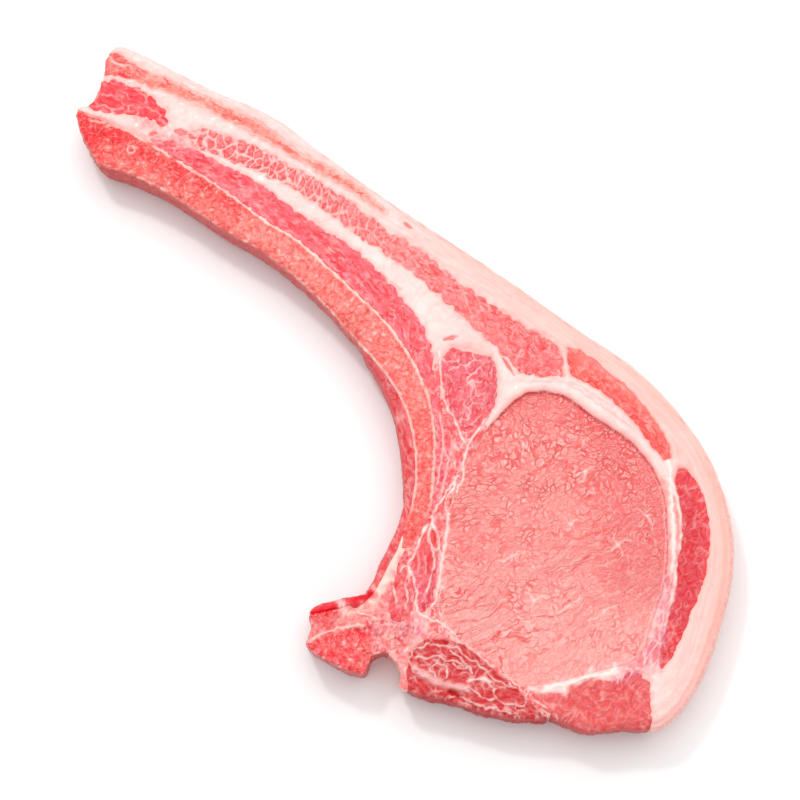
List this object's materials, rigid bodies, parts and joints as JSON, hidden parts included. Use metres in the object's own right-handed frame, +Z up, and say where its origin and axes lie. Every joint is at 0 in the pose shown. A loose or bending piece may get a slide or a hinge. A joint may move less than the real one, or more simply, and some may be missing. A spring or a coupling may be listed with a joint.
{
  "type": "raw pork chop",
  "caption": "Raw long-bone pork rib chop: one slice with the loin eye, fat rim and seams, a curved sawn rib along its hollow side, layered belly meat and part of the backbone.",
  "frame": {"origin": "centre of the underside of the box round the chop, on the surface that it lies on", "axes": "+Z up out of the upper cut face, +X towards the skin side of the loin, +Y towards the sawn belly end of the rib"},
  "size_m": [0.2262, 0.239, 0.0206],
  "materials": {
    "fat": "soft cream-white fat, faintly pink, moist",
    "rib_bone": "sawn porous rib marrow, orange-pink, with a thin white shell",
    "backbone": "sawn porous backbone, pink-red centre with a pale shell",
    "loin_lean": "wet pale pink loin meat, cut across the grain",
    "coral_lean": "wet coral red meat",
    "dark_lean": "wet deep red meat laced with white tissue",
    "pale_lean": "thin pale orange-pink belly meat",
    "lining": "smooth wet red lining of the rib's hollow side",
    "tendon": "smooth cream tendon, faintly pink, moist"
  },
  "bodies": {
    "root": {"rib_bone": "rib_bone", "chine_bone": "backbone", "loin_eye": "loin_lean", "side_muscle": "coral_lean", "rib_muscle": "dark_lean", "rib_lining": "lining", "neck_muscle": "coral_lean", "belly_middle": "coral_lean", "belly_outer": "pale_lean", "belly_tip": "dark_lean", "cap_front": "coral_lean", "cap_back": "dark_lean", "back_muscle": "dark_lean", "lower_muscle": "coral_lean", "rib_root_muscle": "coral_lean", "rib_tendon": "tendon", "fat": "fat"}
  },
  "joints": []
}
